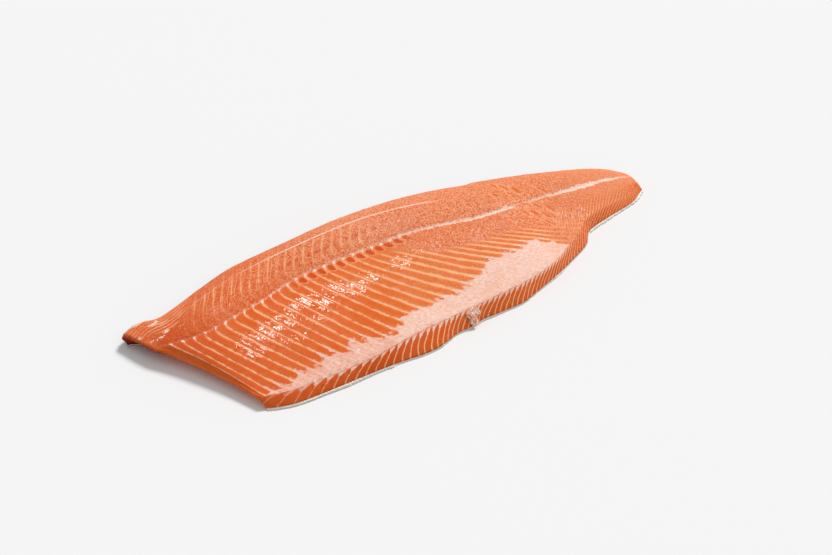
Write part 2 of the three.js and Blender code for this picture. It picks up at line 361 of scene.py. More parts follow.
# the thin white line along the back, and how far up the membrane and the white lines reach on the belly
lateral = curveOver([(-215, 44), (-186, 51), (-161, 57), (-141, 60), (-121, 63), (-101, 64.5), (-62, 66),
                     (-22, 67), (0, 66), (18, 63.5), (38, 60), (80, 52)])
membraneTop = curveOver([(-212, -77), (-170, -70), (-110, -66), (-80, -72), (-62, -68), (-58, -60), (-30, -60),
                         (0, -57), (25, -52), (50, -42), (75, -38), (100, -35), (128, -42), (140, -52)])
linesTop = curveOver([(-250, 40), (-60, 30), (-20, 14), (0, 6), (25, -8), (60, -14), (110, -18), (150, -25)])

# the band of fat along the backbone: half width and cover
fatWidth = curveOver([(-250, 0.6), (-100, 0.9), (10, 1.3), (45, 1.7), (110, 2), (125, 2), (135, 1), (165, 1.5),
                      (185, 2.6), (210, 2.9), (230, 2.2), (250, 1.3), (261, 0.8)])
fatCover = curveOver([(-250, 0.1), (-195, 0.3), (-150, 0.45), (-110, 0.55), (-60, 0.8), (10, 0.8), (60, 0.85),
                      (120, 0.95), (129, 0.4), (133, 0.2), (140, 0.5), (165, 0.7), (185, 0.95), (235, 1),
                      (250, 0.7), (261, 0.4)])

# gashes where the flakes gape: middle x and y, half length across the fillet, half width
gapes = [(130, 52, 6, 2.2), (136, 44, 8, 2.8), (143, 36, 8, 2.6), (134, 31, 6, 2.2), (111, 1, 6, 2),
         (129, 4, 8, 2.8), (137, -1, 12, 3), (145, -9, 8, 2.4), (146, 8, 6, 2.2), (155, 0, 10, 3),
         (140, -19, 6, 2), (166, 26, 7, 2), (70, 40, 4, 1.8), (58, 41, 4, 1.6), (88, 36, 5, 1.6),
         (120, 38, 6, 1.8)]

# spots of fat at the head end: middle x and y, reach along and across, strength
headFat = [(-247, 62, 9, 2.6, 0.9), (-236, 65, 9, 2.2, 0.9), (-237, 50.5, 5, 2.2, 1.0), (-233, 52, 2.2, 5, 0.8),
           (-229, 46, 5, 1.6, 0.6), (-254, 43, 2.0, 1.5, 0.7), (-248, 33, 2.6, 1.6, 0.6),
           (-241, 30.5, 5, 1.8, 0.8), (-234, 33.5, 4, 2.4, 0.9), (-222, 30, 5, 1.2, 0.4)]

# where the wet surface ripples: middle x and y, reach along and across, strength
ripples = [(-181, -18, 15, 9, 1.0), (-187, -30, 13, 9, 0.8), (-171, -27, 12, 10, 0.8), (-162, -15, 13, 9, 1.0),
           (-147, -14, 14, 10, 0.9), (-128, -4, 12, 7, 0.8), (-117, -2, 14, 8, 0.9), (-104, -10, 13, 12, 0.9),
           (-84, -2, 14, 11, 0.8), (-72, -10, 12, 9, 0.8), (-53, -4, 14, 9, 0.7), (-17, -1, 12, 9, 0.8),
           (-150, -36, 16, 8, 0.4), (-120, -26, 16, 8, 0.4), (-137, -78, 9, 4, 0.2), (-112, -74, 12, 4, 0.2),
           (-150, -86, 30, 3, 0.7), (-218, -76, 10, 3, 0.6), (20, 2, 30, 14, 0.3), (75, -4, 34, 12, 0.35),
           (120, 8, 26, 16, 0.4), (165, -18, 16, 12, 0.5), (0, 48, 40, 14, 0.25), (-190, 30, 30, 12, 0.25)]


def spots(x, y, places):
    most = np.zeros_like(x)
    for cx, cy, reachX, reachY, strength in places:
        away = ((x - cx) / reachX) ** 2 + ((y - cy) / reachY) ** 2
        most = np.maximum(most, strength * np.exp(-away * 1.4))
    return most


def gashes(x, y):
    depth = np.zeros_like(x)
    for cx, cy, halfLength, halfWidth in gapes:
        lean = 0.2 + 0.15 * math.sin(cx)
        across = (x - cx + lean * (y - cy)) / halfWidth
        depth = np.maximum(depth, np.exp(-across ** 2 - ((y - cy) / halfLength) ** 2))
    return depth


def edgeRounding(s, across):
    atHead = flesh["headRound"] * np.exp(-((s - form["headX"]) / flesh["headRoundReach"]) ** 2)
    atHead = atHead * fade(1 - across, 0, 0.3) * blend(0.4, 1, fade(1 + across, 0, 0.5))
    tailward = fade(s, 120, 190)
    nearCrest = np.maximum(1 - (1 + across) / blend(0.05, 0.3, tailward), 0) ** 2
    atCrest = blend(flesh["crestRound"], flesh["tailCrestRound"], tailward) * nearCrest
    atCrest = atCrest * (1 - headEnd(s)) * (1 - 0.7 * tailEnd(s))
    return np.maximum(atHead, atCrest)


def sideSurface(s, across, height):
    upper = upperSurface(s, across)
    upper[:, 2] -= edgeRounding(s, across)
    under = underSurface(s, across, fleshFloor)
    side = blend(under, upper, height[:, None])
    roll = np.sin(np.pi * height)
    side[:, 0] += form["tailRoll"] * roll * (s >= form["tailX"] - 1e-3)
    side[:, 1] -= form["bellyRoll"] * roll * (across <= -1 + 1e-6)
    atHead = s <= form["headX"] + 1e-3
    undercut = headTuck(s, across) * np.maximum(1 - 1.5 * height, 0)
    lipRoll = form["headRoll"] + form["noseRoll"] * np.maximum(across, 0) ** 4
    side[:, 0] = np.where(atHead, upper[:, 0] + undercut - 1.3 * lipRoll * height * roll, side[:, 0])
    atBack = (across >= 1 - 1e-6)[:, None]
    return np.where(atBack, rimSurface(s, height, fleshFloor), side)


def lineSlant(s, across):
    step = 0.01
    ahead = upperSurface(s, np.clip(across + step, -1, 1))
    behind = upperSurface(s, np.clip(across - step, -1, 1))
    run = ahead - behind
    return np.abs(run[:, 1]) / np.maximum(np.hypot(run[:, 0], run[:, 1]), 1e-6)


def pastHeadCut(s):
    return fade((s - form["headX"]) / segmentLength, 0.3, 0.7)


# how much the back's lines run along its edge, as they do towards the head end
def edgeRun(across, x, y):
    return (1 - fade(x + 1.4 * (backEdge(x) - y), -192, -160)) * (across > 0) * fade(y - backbone(x), 10, 22)


# the white lines between the muscle segments: their count, their width and how plainly they show
def segmentLines(s, across, onTop, x, y, patchNoise):
    wander = flesh["lineWander"] * (1 - headEnd(s)) * (1 - tailEnd(s))
    phase = (s - form["headX"]) / segmentLength
    phase = phase + wander * (unevenness(x, y, 22, 0.3) + 0.5 * unevenness(x, y, 6, 7.1))
    width = flesh["lineWidth"] / segmentLength / np.maximum(lineSlant(s, across), 0.3)
    width *= np.where(across > 0, 0.75, 1 + 0.6 * fade(x, -60, 30))
    bellyShow = (1 - fade(y, linesTop(x) - 5, linesTop(x) + 7)) * (1 - 0.8 * fade(x, 115, 140))
    backShow = between(x, -222, -15, 20) * (0.2 + 0.5 * between(y, 36, 64, 5))
    backShow *= 1 - 0.7 * fade(y - lateral(x), 0, 4)
    backShow *= 1 - 0.8 * fade(x, -20, 60)
    show = np.where(across > 0, backShow, bellyShow) * (1 + 0.5 * patchNoise) * onTop * pastHeadCut(s)

    fromEdge = backEdge(x) - y
    alongEdge = edgeRun(across, x, y)
    edgePhase = (fromEdge + flesh["edgeLineTurn"] * (x - form["headX"])) / flesh["edgeLineSpacing"]
    edgePhase += 0.3 * unevenness(x, y, 14, 2.7)
    show = np.where(alongEdge > 0.5, 0.5 * onTop * (1 + 0.8 * patchNoise), show)
    show *= fade(np.abs(alongEdge - 0.5), 0.05, 0.3) * fade(fromEdge, 1.5, 3.5)
    phase = np.where(alongEdge > 0.5, edgePhase, phase)
    width = np.where(alongEdge > 0.5, flesh["edgeLineWidth"] / flesh["edgeLineSpacing"], width)
    return phase, width, show


# finer lines between and across them on the back, towards the head end
def fineLines(s, across, onTop, x, y, patchNoise):
    phase = (s - form["headX"]) / segmentLength * 1.3 + 0.4 * unevenness(x, y, 26, 6.6)
    width = flesh["fineLineWidth"] / segmentLength / np.maximum(lineSlant(s, across), 0.3)
    show = between(x, -200, -95, 22) * between(y - backbone(x), 14, 44, 8) * (1 - edgeRun(across, x, y))
    show *= 0.55 * (across > 0) * onTop * (1 + 0.6 * patchNoise)
    return phase, width, show


# the cut face has lines of its own, which curve over towards the tail as they rise
def faceLines(across, height, onTop, onFace, x, y):
    onTopRun = flesh["lineLean"] + 1.3 * (y - bellyCrest(x))
    past = x - np.where(onTop, onTopRun, flesh["lineLean"] * height ** 1.6)
    past += 1.2 * unevenness(x, height * 12, 9, 8.8)
    phase = np.interp(past, faceSteps, faceCount)
    show = onFace * blend(1.0, 0.6, fade(x, 120, 160)) * blend(0.55, 1, fade(x, -190, -120))
    tailStripes = onTop * fade(-across, 0.45, 1) * between(x + 0.5 * y, 130, 235, 14)
    return phase, blend(0.9, 1.5, onTop) / faceSpacing(x), np.maximum(show, 0.5 * tailStripes)


# redder flesh at the head end, on the cut face and down the side of the tail
def redness(s, across, onFace, x, y):
    atHead = (1 - fade(x, -235, -175)) * between(y, -70, 40, 14) * fade(s, form["headX"], form["headX"] + 12)
    deep = np.maximum(0.6 * atHead, 0.12 * fade(-across, 0.5, 1) * fade(x, 150, 190))
    return np.where(onFace, 0.2 + 0.3 * fade(x, -200, -80), deep)


# the granular flesh of the back, the middle and the tail, and how pale it is
def granularity(across, height, x, y):
    grain = np.where(across > 0, blend(0.5, 1.0, fade(x, -220, -80)),
                     fade(y, linesTop(x) - 6, linesTop(x) + 6) * fade(x, -30, 10))
    grain = np.maximum(grain, np.maximum(fade(x, 110, 140), 0.3 * fade(x, -70, 0)))
    grain *= 1 - 0.6 * fade(x, 165, 215)
    pale = np.where(across > 0, blend(0.1, 1.0, fade(x, -170, -10)), grain * 0.7)
    pale = blend(pale, 0.9, fade(x, 120, 180)) * fade(height, 0.6, 1.0)
    pale *= 1 - 0.6 * fade(-across, 0.45, 0.85) * fade(x, 140, 170)
    return grain, pale


def fleshMarks(s, across, height, points):
    x, y = points[:, 0], points[:, 1]
    onBack = across > 0
    onTop = height > 0.999
    onFace = (across < -0.999) * ~onTop
    patchNoise = unevenness(x, y, 15, 5.2)
    phase, width, show = segmentLines(s, across, onTop, x, y, patchNoise)
    grain, pale = granularity(across, height, x, y)

    # membrane over the belly edge: how far inside it, in millimetres, and how thick it is
    inside = membraneTop(x) + 5 * patchNoise - y - 30 * fade(x, 120, 150) - 200 * ~onTop
    veil = blend(0.75, 1.0, fade(x, -95, -60)) * (1 + 0.3 * patchNoise)
    veil *= 1 - headEnd(s) * fade(across, -0.95, -0.8)
    faceVeil = onFace * fade(x, -215, -150) * (1 - fade(x, 110, 150))

    beadShow = (1 - fade(x, 0, 25)) * pastHeadCut(s)
    lateralShow = blend(0.15, 0.8, fade(x, -150, -90)) * (1 - fade(x, 42, 78)) * onTop
    squareShow = between(x, -112, 12, 8) * ~onBack
    lensShow = 0.8 * between(x, -125, 10, 20) * fade(unevenness(phase.round(), phase.round(), 0.9, 2.2), -0.5, 0.2)
    # painted shade: darker red towards the foot of the head cut's undercut wall, near its back corner
    lip = (s < form["headX"] + 0.1) * fade(1 - height, 0.02, 0.4) * (1 - fade(x, -250, -238))
    warm = fade(x, -120, 0) * ~onBack
    loose = between(x, 105, 165, 14) * between(y, -24, 54, 12)

    marks = {
        "lines": (phase, width, show),
        "fineLines": fineLines(s, across, onTop, x, y, patchNoise),
        "faceLines": faceLines(across, height, onTop, onFace, x, y),
        "bands": (y - backbone(x), y - lateral(x), fatWidth(x)),
        "fatShow": (fatCover(x) * onTop, beadShow, lateralShow),
        "deepShow": (squareShow, lensShow * onBack, redness(s, across, onFace, x, y)),
        "cover": (inside, veil, spots(x, y, headFat) * fade(height, 0.5, 0.9)),
        "body": (grain, pale, spots(x, y, ripples)),
        "edges": (height, faceVeil, lip),
        "tears": (gashes(x, y) * onTop, warm, loose),
    }
    return {name: np.stack(np.broadcast_arrays(*values), -1).astype(float) for name, values in marks.items()}


def fleshRelief(s, across, height, points, marks):
    x, y = points[:, 0], points[:, 1]
    phase, width, show = marks["lines"].T
    grain, wet = marks["body"][:, 0], marks["body"][:, 2]
    torn = marks["tears"][:, 0]
    fromBackbone = marks["bands"][:, 0]
    inner = fade(1 - np.abs(across), 0, 0.06) * (1 - tailEnd(s)) * (1 - 0.5 * headEnd(s))
    fromLine = np.abs(phase - np.round(phase))
    veiled = fade(marks["cover"][:, 0], -2, 3)
    depth = np.where(across > 0, flesh["backLineDepth"], form["bellyLineDepth"]) * (1 - 0.7 * veiled)
    valley = depth * np.exp(-(fromLine / np.maximum(width, 0.05) / 1.5) ** 2) * fade(show, 0, 0.4)
    pillow = flesh["pillow"] * (1 - (2 * fromLine) ** 2) * show
    groove = form["backboneDepth"] * 0.6 * np.exp(-(fromBackbone / 2.6) ** 2)
    bead = np.exp(-(fromLine * segmentLength / 1.6) ** 2 - ((fromBackbone + 1.5) / 2.4) ** 2) * (x < 20)
    sway = 0.35 * np.sin(x / 31 + y / 57) + 0.25 * np.sin(x / 17 - y / 23 + 1.3)
    lumps = flesh["grainHeight"] * unevenness(x, y, 3.2, 9.4) * grain
    lumps += flesh["swellHeight"] * unevenness(x, y, 11, 4.4)
    ripple = flesh["rippleHeight"] * unevenness(x, y, 2.6, 1.4) * wet
    rise = sway + pillow + lumps + ripple + flesh["beadHeight"] * bead - np.maximum(valley, groove)
    rise -= flesh["sunk"] + flesh["gashDepth"] * torn
    return (inner * rise - edgeRounding(s, across)) * (height > 0.999)


def makeFleshMesh():
    columns = form["segments"] * flesh["stepsPerSegment"]
    rows = flesh["bellyRows"] + flesh["backRows"]
    bm = bmesh.new()
    bmesh.ops.create_grid(bm, x_segments=columns, y_segments=rows, size=1)
    layers = [bm.verts.layers.float.new(name) for name in ("along", "across", "height")]
    for vert in bm.verts:
        row = round((vert.co.y + 1) / 2 * rows) - flesh["bellyRows"]
        share = row / (flesh["backRows"] if row > 0 else flesh["bellyRows"])
        vert[layers[0]] = (vert.co.x + 1) / 2
        vert[layers[1]] = share - flesh["rowCrowding"] / (2 * math.pi) * math.sin(2 * math.pi * share)
        vert[layers[2]] = 1
    rim = [edge for edge in bm.edges if edge.is_boundary]
    for row in range(flesh["wallRows"]):
        made = bmesh.ops.extrude_edge_only(bm, edges=rim)["geom"]
        rim = [part for part in made if isinstance(part, bmesh.types.BMEdge)]
        for vert in made:
            if isinstance(vert, bmesh.types.BMVert):
                vert[layers[2]] = 1 - (row + 1) / flesh["wallRows"]
    bmesh.ops.contextual_create(bm, geom=rim)
    along, across, height = (np.array([vert[layer] for vert in bm.verts]) for layer in layers)
    s = blend(form["headX"], form["tailX"], along)
    atTop = (height > 0.999)[:, None]
    points = np.where(atTop, upperSurface(s, across), sideSurface(s, across, height))
    marks = fleshMarks(s, across, height, points)
    points[:, 2] += fleshRelief(s, across, height, points, marks)
    for vert, point in zip(bm.verts, points):
        vert.co = Vector(point) * mm
    for layer in layers:
        bm.verts.layers.float.remove(layer)
    bmesh.ops.recalc_face_normals(bm, faces=bm.faces)
    return bm, marks


# helpers for materials

def addNode(tree, kind, inputs=None, **settings):
    made = tree.nodes.new(kind)
    for name, value in settings.items():
        setattr(made, name, value)
    for name, value in (inputs or {}).items():
        if isinstance(value, bpy.types.NodeSocket):
            tree.links.new(value, made.inputs[name])
        else:
            made.inputs[name].default_value = value
    return made


def mathNode(tree, operation, first, second=0.5):
    return addNode(tree, "ShaderNodeMath", {0: first, 1: second}, operation=operation).outputs[0]


def mixColour(tree, factor, first, second):
    return addNode(tree, "ShaderNodeMix", {0: factor, 6: first, 7: second}, data_type="RGBA").outputs[2]


def remap(tree, value, low, high, toLow=0.0, toHigh=1.0):
    return addNode(tree, "ShaderNodeMapRange", {"Value": value, "From Min": low, "From Max": high,
                                                "To Min": toLow, "To Max": toHigh},
                   interpolation_type="SMOOTHSTEP").outputs["Result"]


def noiseNode(tree, vector, size, detail=2.0, roughness=0.5, distortion=0.0):
    return addNode(tree, "ShaderNodeTexNoise", {"Vector": vector, "Scale": 1 / (size * mm), "Detail": detail,
                                                "Roughness": roughness, "Distortion": distortion}).outputs["Fac"]


def stretched(tree, vector, turn, stretch):
    return addNode(tree, "ShaderNodeMapping", {"Vector": vector, "Rotation": (0, 0, math.radians(turn)),
                                               "Scale": (1 / stretch, 1, 1)}, vector_type="TEXTURE").outputs[0]


def strongest(tree, *masks):
    result = masks[0]
    for mask in masks[1:]:
        result = mathNode(tree, "MAXIMUM", result, mask)
    return result


def coloursOf(piece):
    return {name: paint(*value) for name, value in piece["paint"].items()}


def marksOf(tree, name):
    vector = addNode(tree, "ShaderNodeAttribute", attribute_name=name).outputs["Vector"]
    return addNode(tree, "ShaderNodeSeparateXYZ", {0: vector}).outputs


def newMaterial(name):
    material = bpy.data.materials.new(name)
    material.use_nodes = True
    return material, material.node_tree, material.node_tree.nodes["Principled BSDF"]


def squared(tree, value, shift, size):
    scaled = mathNode(tree, "DIVIDE", mathNode(tree, "ADD", value, shift), size)
    return mathNode(tree, "MULTIPLY", scaled, scaled)


def product(tree, *factors):
    result = factors[0]
    for factor in factors[1:]:
        result = mathNode(tree, "MULTIPLY", result, factor)
    return result


def total(tree, *parts):
    result = parts[0]
    for part in parts[1:]:
        result = mathNode(tree, "ADD", result, part)
    return result


def lineMask(tree, distance, width, show):
    return product(tree, remap(tree, distance, width, mathNode(tree, "MULTIPLY", width, 0.5)), show)


# moist surface: a film that lies in small ramps and glints where it is wettest
def addWetFilm(tree, shader, place, strokes, patches, grain, wet):
    fine = addNode(tree, "ShaderNodeBump", {"Height": product(tree, strokes, grain), "Distance": 0.0005,
                                            "Strength": 1.0})
    ramps = addNode(tree, "ShaderNodeTexWave", {"Vector": stretched(tree, place, flesh["rampTurn"], 1),
                                                "Scale": 50.0, "Distortion": 1.6, "Detail": 2.0,
                                                "Detail Scale": 1.5},
                    wave_type="BANDS", wave_profile="SAW").outputs["Fac"]
    tilt = product(tree, mathNode(tree, "SUBTRACT", ramps, 0.5), remap(tree, wet, 0.05, 0.35))
    bump = addNode(tree, "ShaderNodeBump", {"Height": tilt, "Distance": flesh["rampDepth"] * mm, "Strength": 1.0,
                                            "Normal": fine.outputs[0]})
    tree.links.new(bump.outputs[0], shader.inputs["Normal"])
    dashes = noiseNode(tree, stretched(tree, place, 110, 2.2), flesh["dashSize"], 1, 0.5)
    plenty = mathNode(tree, "ADD", dashes, product(tree, wet, 0.11))
    film = product(tree, remap(tree, plenty, 0.58, 0.62), remap(tree, patches, 0.42, 0.52),
                   remap(tree, wet, 0.02, 0.1))
    roughness = remap(tree, film, 0.0, 0.4, flesh["dryRoughness"], flesh["wetRoughness"])
    tree.links.new(roughness, shader.inputs["Roughness"])
    tree.links.new(product(tree, film, 0.15), shader.inputs["Coat Weight"])
    shader.inputs["Coat Roughness"].default_value = 0.1
    shader.inputs["Specular IOR Level"].default_value = 0.25


def makeFleshMaterial():
    material, tree, shader = newMaterial("rawSalmon")
    colours = coloursOf(flesh)
    place = addNode(tree, "ShaderNodeTexCoord").outputs["Object"]
    phase, width, show = marksOf(tree, "lines")
    finePhase, fineWidth, fineShow = marksOf(tree, "fineLines")
    facePhase, faceWidth, faceShow = marksOf(tree, "faceLines")
    fromBackbone, fromLateral, bandWidth = marksOf(tree, "bands")
    bandShow, beadShow, lateralShow = marksOf(tree, "fatShow")
    squareShow, lensShow, deep = marksOf(tree, "deepShow")
    inside, veil, headFatness = marksOf(tree, "cover")
    grain, pale, wet = marksOf(tree, "body")
    height, faceVeil, lip = marksOf(tree, "edges")
    torn, warm, loose = marksOf(tree, "tears")
    broad = noiseNode(tree, place, 26, 3)
    patches = noiseNode(tree, place, 7, 2, 0.6)
    strokes = noiseNode(tree, stretched(tree, place, 150, 1.7), flesh["strokeSize"], 4, 0.7)
    fibres = noiseNode(tree, stretched(tree, place, 8, 6), 1.2, 2, 0.6)
    specks = noiseNode(tree, place, 1.6, 2, 0.7)
    granules = addNode(tree, "ShaderNodeTexVoronoi", {"Vector": stretched(tree, place, 40, 1.5),
                                                      "Scale": 1 / (flesh["granuleSize"] * mm), "Randomness": 1.0})
    granule = addNode(tree, "ShaderNodeSeparateColor", {0: granules.outputs["Color"]}).outputs
    ragged = remap(tree, specks, 0.3, 0.7, -0.5, 0.5)
    fromLine = mathNode(tree, "PINGPONG", phase, 0.5)
    fromMiddle = mathNode(tree, "SUBTRACT", 0.5, fromLine)
    fromFineLine = mathNode(tree, "PINGPONG", finePhase, 0.5)
    fromFaceLine = mathNode(tree, "PINGPONG", facePhase, 0.5)

    # ground colour with its broad and fine variation; the pale speckles on the granular flesh are partly its own
    # flecks and partly painted glints
    ground = mixColour(tree, warm, colours["orange"], colours["warmOrange"])
    ground = mixColour(tree, pale, ground, colours["paleOrange"])
    ground = mixColour(tree, remap(tree, broad, 0.35, 0.65, 0.0, 0.14), ground, colours["paleOrange"])
    ground = mixColour(tree, product(tree, remap(tree, fibres, 0.5, 0.7), 0.2), ground, colours["paleSpeckAndGlint"])
    ground = mixColour(tree, product(tree, remap(tree, specks, 0.5, 0.36), 0.4), ground, colours["speckDark"])
    darkGrain = product(tree, remap(tree, granules.outputs["Distance"], 0.4, 0.75), grain, 0.4)
    ground = mixColour(tree, darkGrain, ground, colours["speckDark"])
    darkStrokes = product(tree, remap(tree, strokes, 0.48, 0.4), grain, 0.85)
    ground = mixColour(tree, darkStrokes, ground, colours["speckDark"])
    # partly painted glints: pale speckles on the granules and on the crests of the fine bump
    paleGrainAndGlints = product(tree, remap(tree, granules.outputs["Distance"], 0.5, 0.2),
                        remap(tree, granule[0], 0.3, 0.8), grain, 0.6)
    ground = mixColour(tree, paleGrainAndGlints, ground, colours["paleSpeckAndGlint"])
    paleStrokesAndGlints = product(tree, remap(tree, strokes, 0.54, 0.64), grain, 0.8)
    ground = mixColour(tree, paleStrokesAndGlints, ground, colours["paleSpeckAndGlint"])

    # looser flakes lie in short strips
    strips = noiseNode(tree, stretched(tree, place, 104, 4), flesh["stripSize"], 2, 0.6)
    ground = mixColour(tree, product(tree, remap(tree, strips, 0.52, 0.58), loose, 0.9), ground, colours["tear"])
    ground = mixColour(tree, product(tree, remap(tree, strips, 0.47, 0.4), loose, 0.9), ground, colours["line"])

    # redder places: the head end, the squares under the beads, the spots along the back, and where flakes gape
    squareAway = total(tree, squared(tree, fromMiddle, 0.0, 0.33),
                       squared(tree, fromBackbone, flesh["squareBelow"], flesh["squareReach"]),
                       product(tree, ragged, 0.5))
    square = product(tree, remap(tree, squareAway, 1.1, 0.8), squareShow)
    squareRim = product(tree, remap(tree, squareAway, 2.0, 1.5), remap(tree, squareAway, 0.95, 1.2),
                        squareShow, 0.45)
    lensAway = total(tree, squared(tree, fromMiddle, 0.0, 0.36),
                     squared(tree, fromLateral, flesh["lensBelow"], flesh["lensReach"]), ragged)
    lens = product(tree, remap(tree, lensAway, 1.3, 0.6), lensShow, 0.9)
    raggedTear = product(tree, torn, total(tree, 1.0, ragged, remap(tree, patches, 0.35, 0.65, -0.4, 0.2)))
    tear = product(tree, remap(tree, raggedTear, 0.4, 0.6), 0.85)
    tearRim = product(tree, remap(tree, raggedTear, 0.06, 0.3), 0.5)
    red = product(tree, strongest(tree, deep, square, lens), remap(tree, strokes, 0.35, 0.6, 1.0, 0.7))
    ground = mixColour(tree, red, ground, colours["deepOrange"])
    ground = mixColour(tree, strongest(tree, tearRim, squareRim), ground, colours["line"])
    ground = mixColour(tree, tear, ground, colours["tear"])
    # painted shade low on the head cut's wall
    ground = mixColour(tree, lip, ground, colours["lip"])

    # white lines with a soft shoulder
    wobble = product(tree, ragged, 0.06)
    unevenLine = total(tree, fromLine, wobble, remap(tree, patches, 0.35, 0.65, -0.05, 0.05))
    shoulder = product(tree, remap(tree, unevenLine, 0.34, 0.06), show, remap(tree, warm, 0.0, 1.0, 0.2, 0.45))
    ground = mixColour(tree, shoulder, ground, colours["line"])
    ground = mixColour(tree, lineMask(tree, unevenLine, width, show), ground, colours["line"])
    fineLine = lineMask(tree, mathNode(tree, "ADD", fromFineLine, wobble), fineWidth, fineShow)
    ground = mixColour(tree, fineLine, ground, colours["line"])
    faceLine = lineMask(tree, mathNode(tree, "ADD", fromFaceLine, wobble), faceWidth, faceShow)
    ground = mixColour(tree, faceLine, ground, colours["line"])

    # membrane with fingers up the lines, and over the top of the cut face
    streaks = noiseNode(tree, stretched(tree, place, 62, 5), 3, 3, 0.55)
    finger = product(tree, remap(tree, fromLine, 0.25, 0.0), remap(tree, patches, 0.35, 0.65, 2.0, 10.0))
    edge = total(tree, inside, finger, remap(tree, patches, 0.2, 0.8, -6.0, 6.0), ragged)
    onBelly = product(tree, remap(tree, edge, -2.0, 3.0), veil)
    arch = product(tree, remap(tree, fromFaceLine, 0.5, 0.0), 0.24)
    upFace = total(tree, height, arch, product(tree, ragged, 0.06))
    overFace = product(tree, remap(tree, upFace, 0.93, 1.0), faceVeil)
    cover = product(tree, strongest(tree, onBelly, overFace), remap(tree, streaks, 0.3, 0.5, 0.7, 1.0))
    sheet = mixColour(tree, remap(tree, streaks, 0.38, 0.62), colours["membrane"], colours["thickMembrane"])
    ground = mixColour(tree, cover, ground, sheet)

    # fat: the band on the backbone with its arches and beads, the line along the back, the head end's spots
    scallop = product(tree, remap(tree, fromMiddle, 0.5, 0.0), squareShow, -2.0)
    fromBand = mathNode(tree, "ABSOLUTE", total(tree, fromBackbone, scallop, product(tree, ragged, 2.6)))
    unevenBand = product(tree, bandWidth, remap(tree, patches, 0.35, 0.6, 0.7, 1.5))
    band = lineMask(tree, fromBand, unevenBand, bandShow)
    beadAway = total(tree, squared(tree, fromLine, 0.0, 0.13), squared(tree, fromBackbone, 1.5, 2.0),
                     product(tree, ragged, 1.6), remap(tree, patches, 0.3, 0.7, -0.4, 0.6))
    bead = product(tree, remap(tree, beadAway, 1.2, 0.5), beadShow)
    besideLateral = mathNode(tree, "ABSOLUTE", mathNode(tree, "ADD", fromLateral, product(tree, ragged, 0.8)))
    along = lineMask(tree, besideLateral, flesh["lateralWidth"], lateralShow)
    headSpots = remap(tree, product(tree, headFatness, total(tree, 1.0, ragged, ragged)), 0.2, 0.7)
    ground = mixColour(tree, strongest(tree, band, bead, along, headSpots), ground, colours["fat"])
    tree.links.new(ground, shader.inputs["Base Color"])

    addWetFilm(tree, shader, place, strokes, patches, grain, wet)
    shader.inputs["Subsurface Weight"].default_value = 0.1
    shader.inputs["Subsurface Radius"].default_value = (0.005, 0.0015, 0.0008)
    shader.inputs["Subsurface Scale"].default_value = 1.0
    return material


# skin: silver at the belly, dark along the back, with a cream-white cut edge

skin = {
    "stepsPerSegment": 8,
    "flatRows": 48,
    "rimRows": 10,
    "ragged": 0.7,
    "scaleSize": 3.2,
    "roughness": 0.36,
    "paint": {
        "silver": (206, 208, 206),
        "slate": (62, 72, 82),
        "scaleEdge": (34, 40, 48),
        # painted glints on the scales
        "scaleGlint": (168, 178, 184),
        "cut": (252, 242, 228),
        "fringe": (206, 196, 186),
    },
}


def skinEdge(x):
    flap = 1.7 - 1.3 * fade(x, -93, -89) * (1 - 0.8 * fade(x, 160, 180))
    return form["skinShow"] * flap + 0.4 * np.sin(x / 13) + 0.3 * np.sin(x / 7.7)


def makeSkinMesh():
    columns = form["segments"] * skin["stepsPerSegment"]
    rows = skin["flatRows"] + skin["rimRows"]
    bm = bmesh.new()
    bmesh.ops.create_grid(bm, x_segments=columns, y_segments=rows, size=1)
    along, row, inner = (bm.verts.layers.float.new(name) for name in ("along", "row", "inner"))
    for vert in bm.verts:
        vert[along] = (vert.co.x + 1) / 2
        vert[row] = round((vert.co.y + 1) / 2 * rows)
    made = bmesh.ops.extrude_face_region(bm, geom=bm.faces[:])["geom"]
    for vert in made:
        if isinstance(vert, bmesh.types.BMVert):
            vert[inner] = 1
    along, row, inner = (np.array([vert[layer] for vert in bm.verts]) for layer in (along, row, inner))
    s = blend(form["headX"], form["tailX"], along)
    across = np.where(row == 1, -0.99, np.minimum(row / skin["flatRows"] * 2 - 1, 1))
    depth = inner * (fleshFloor - 0.05) * np.where(row == 0, 0.4, 1)
    tuck = np.maximum(row - skin["flatRows"], 0) / skin["rimRows"]
    flat = underSurface(s, across, depth)
    points = np.where((tuck > 0)[:, None], rimSurface(s, tuck, depth), flat)
    x, y = points[:, 0], points[:, 1]
    tattered = blend(1, 2.6, between(x, 165, 245, 6))
    rough = skin["ragged"] * tattered * np.minimum(unevenness(x, y, blend(1.8, 3.2, fade(x, 160, 175)), 3.1), 0)
    points[:, 1] -= (row == 0) * (skinEdge(x) + rough + 0.5 * inner - 0.6)
    atTail = (along > 1 - 1e-6) * (row < skin["flatRows"])
    points[:, 0] += atTail * (form["skinFringe"] * (1 - 0.7 * np.abs(across)) + 2 * rough)
    for vert, point in zip(bm.verts, points):
        vert.co = Vector(point) * mm
    bmesh.ops.recalc_face_normals(bm, faces=bm.faces)
    cut = np.maximum(inner, row == 0)
    marks = {"skinMarks": np.stack([points[:, 1] - backbone(x), cut, atTail], -1)}
    for layer in bm.verts.layers.float.values():
        bm.verts.layers.float.remove(layer)
    return bm, marks


